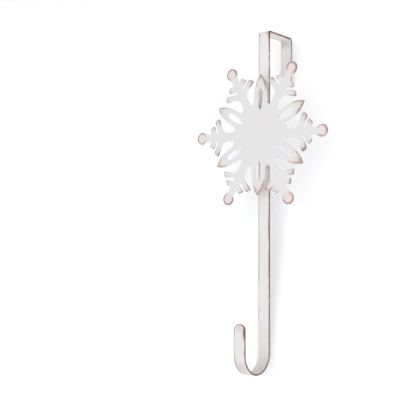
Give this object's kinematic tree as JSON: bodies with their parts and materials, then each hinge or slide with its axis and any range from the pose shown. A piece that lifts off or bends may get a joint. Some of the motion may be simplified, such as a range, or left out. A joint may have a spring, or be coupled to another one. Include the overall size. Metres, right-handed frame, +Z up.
{
  "type": "over-the-door wreath hanger",
  "caption": "Over-the-door wreath hanger: a bent flat bar with a saddle over the door's top, a snowflake plate on its front and an upturned hook at its foot.",
  "frame": {"origin": "centre of the underside of the top bar, where it rests on the door's top edge", "axes": "+Z up along the long drop, +Y through the door towards its back, the snowflake and the hook face -Y, X across the bar"},
  "size_m": [0.1928, 0.0975, 0.415],
  "materials": {
    "strap_paint": "matt warm white paint, rubbed through to copper brown along the edges",
    "flake_paint": "matt warm white paint, worn brown and peach at the tips and rims",
    "spacer_paint": "matt warm white paint"
  },
  "bodies": {
    "root": {"hanger_strap": "strap_paint", "snowflake_plate": "flake_paint", "upper_spacer": "spacer_paint", "lower_spacer": "spacer_paint"}
  },
  "joints": []
}
